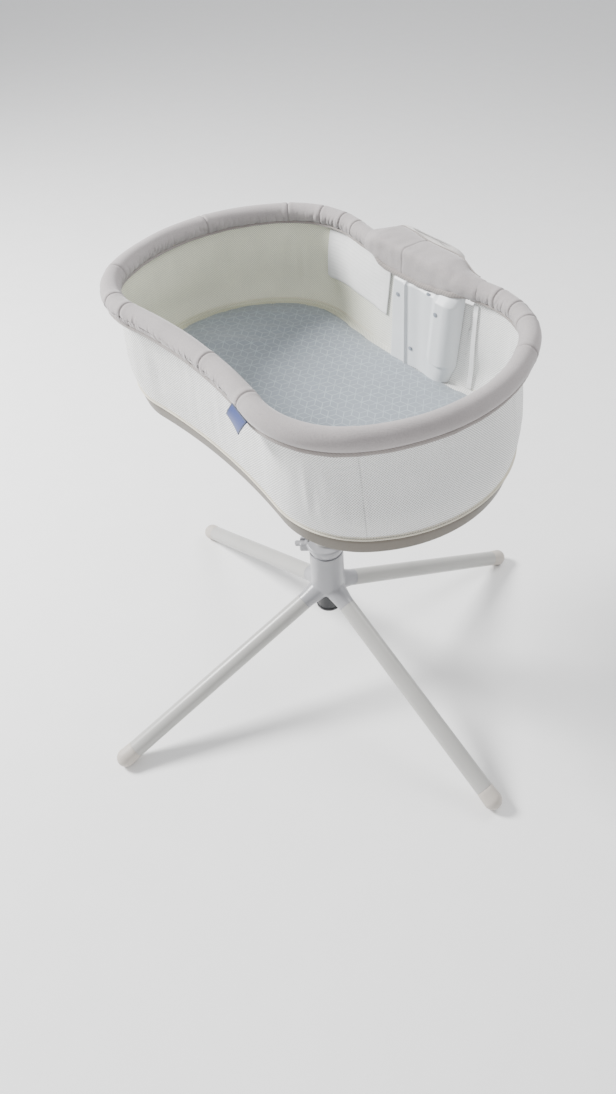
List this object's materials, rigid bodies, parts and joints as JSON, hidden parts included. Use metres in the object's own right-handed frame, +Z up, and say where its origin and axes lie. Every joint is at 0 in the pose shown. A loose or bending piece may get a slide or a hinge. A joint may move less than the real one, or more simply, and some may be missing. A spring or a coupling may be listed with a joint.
{
  "type": "bassinet on stand",
  "caption": "Oval-waisted bassinet with mesh walls and a padded tilting rail, swivelling on a height-adjustable post with splayed tube legs.",
  "frame": {"origin": "on the floor under the post, at the centre of the stand", "axes": "+X along the basket towards its foot end, +Y towards the hinge tower, +Z up"},
  "size_m": [1.205, 1.1938, 1.096],
  "materials": {
    "leg_paint": "satin powder coat",
    "hub_casting": "smooth satin moulding",
    "cap_plastic": "satin moulding",
    "sole_rubber": "matt",
    "black_plastic": "fine grain",
    "tube_paint": "satin",
    "glide_plastic": "plain",
    "bare_steel": "zinc plated",
    "frame_paint": "matt",
    "tray_plastic": "satin",
    "hinge_plastic": "matt",
    "panel_plastic": "smooth",
    "snap_plastic": "smooth",
    "board_wood": "hardboard",
    "sheet_fabric": "printed cotton",
    "piping_fabric": "corded edge",
    "mesh_fabric": "knitted mesh",
    "label_fabric": "woven tape",
    "rail_fabric": "woven cover",
    "pale_fabric": "woven cover",
    "binding_fabric": "binding tape",
    "tab_fabric": "woven tape"
  },
  "bodies": {
    "base": {"hub": "hub_casting", "leg_1": "leg_paint", "leg_2": "leg_paint", "leg_3": "leg_paint", "leg_4": "leg_paint", "foot_cap_1": "cap_plastic", "foot_cap_2": "cap_plastic", "foot_cap_3": "cap_plastic", "foot_cap_4": "cap_plastic", "foot_pads": "sole_rubber", "leg_screws": "bare_steel", "column_sleeve": "black_plastic", "sleeve_end_cap": "black_plastic", "guide_bush": "glide_plastic", "lock_collar": "hub_casting", "collar_screws": "bare_steel", "lever_pin": "bare_steel"},
    "lever": {"height_lever": "hub_casting"},
    "middle": {"middle_tube": "tube_paint", "middle_glide": "glide_plastic", "upper_collar": "black_plastic", "upper_bush": "glide_plastic"},
    "button": {"release_button": "black_plastic"},
    "post": {"inner_tube": "tube_paint", "inner_glide": "glide_plastic", "swivel_flange": "bare_steel", "thrust_washer": "glide_plastic", "retaining_ring": "bare_steel"},
    "rail": {"rail_tube": "bare_steel", "rail_padding": "rail_fabric", "rail_binding": "binding_fabric", "rail_socket_head": "hinge_plastic", "rail_socket_foot": "hinge_plastic", "hinge_shaft": "bare_steel", "rail_tab": "tab_fabric"},
    "basket": {"care_label": "label_fabric", "corner_tape": "label_fabric", "hinge_blocks": "hinge_plastic", "hinge_screws": "bare_steel", "inner_panel": "panel_plastic", "mattress_board": "board_wood", "mattress_pad": "sheet_fabric", "panel_snaps": "snap_plastic", "plate_screws": "bare_steel", "saddle_cover": "rail_fabric", "support_frame": "frame_paint", "swivel_cover": "tray_plastic", "swivel_plate": "bare_steel", "torsion_springs": "bare_steel", "tower_back": "pale_fabric", "tower_upright": "frame_paint", "tray": "tray_plastic", "tray_piping": "piping_fabric", "wall_far": "mesh_fabric", "wall_foot": "mesh_fabric", "wall_head": "mesh_fabric", "wall_near": "mesh_fabric"}
  },
  "joints": [
    {"name": "lower_column_slide", "type": "slide", "parent": "base", "child": "middle", "axis": [0, 0, 1], "range_m": [-0.14, 0]},
    {"name": "upper_column_slide", "type": "slide", "parent": "middle", "child": "post", "axis": [0, 0, 1], "range_m": [-0.139, 0]},
    {"name": "basket_swivel", "type": "hinge", "parent": "post", "child": "basket", "pos_m": [0, 0, 0.8], "axis": [0, 0, 1], "continuous": true},
    {"name": "rail_tilt", "type": "hinge", "parent": "basket", "child": "rail", "pos_m": [0, 0.257, 1.071], "axis": [1, 0, 0], "range_deg": [0, 11], "stiffness_Nm_per_rad": 12, "springref_deg": -34.38, "deforming": ["wall_head", "wall_foot", "wall_near", "wall_far"]},
    {"name": "height_lever", "type": "hinge", "parent": "base", "child": "lever", "pos_m": [-0.03018, -0.03472, 0.426], "axis": [-0.7547, 0.6561, 0], "range_deg": [0, 16], "stiffness_Nm_per_rad": 0.1, "springref_deg": -14.32},
    {"name": "button_push", "type": "slide", "parent": "middle", "child": "button", "axis": [0, 1, 0], "range_m": [0, 0.004], "stiffness_N_per_m": 800, "springref_m": -0.002}
  ]
}
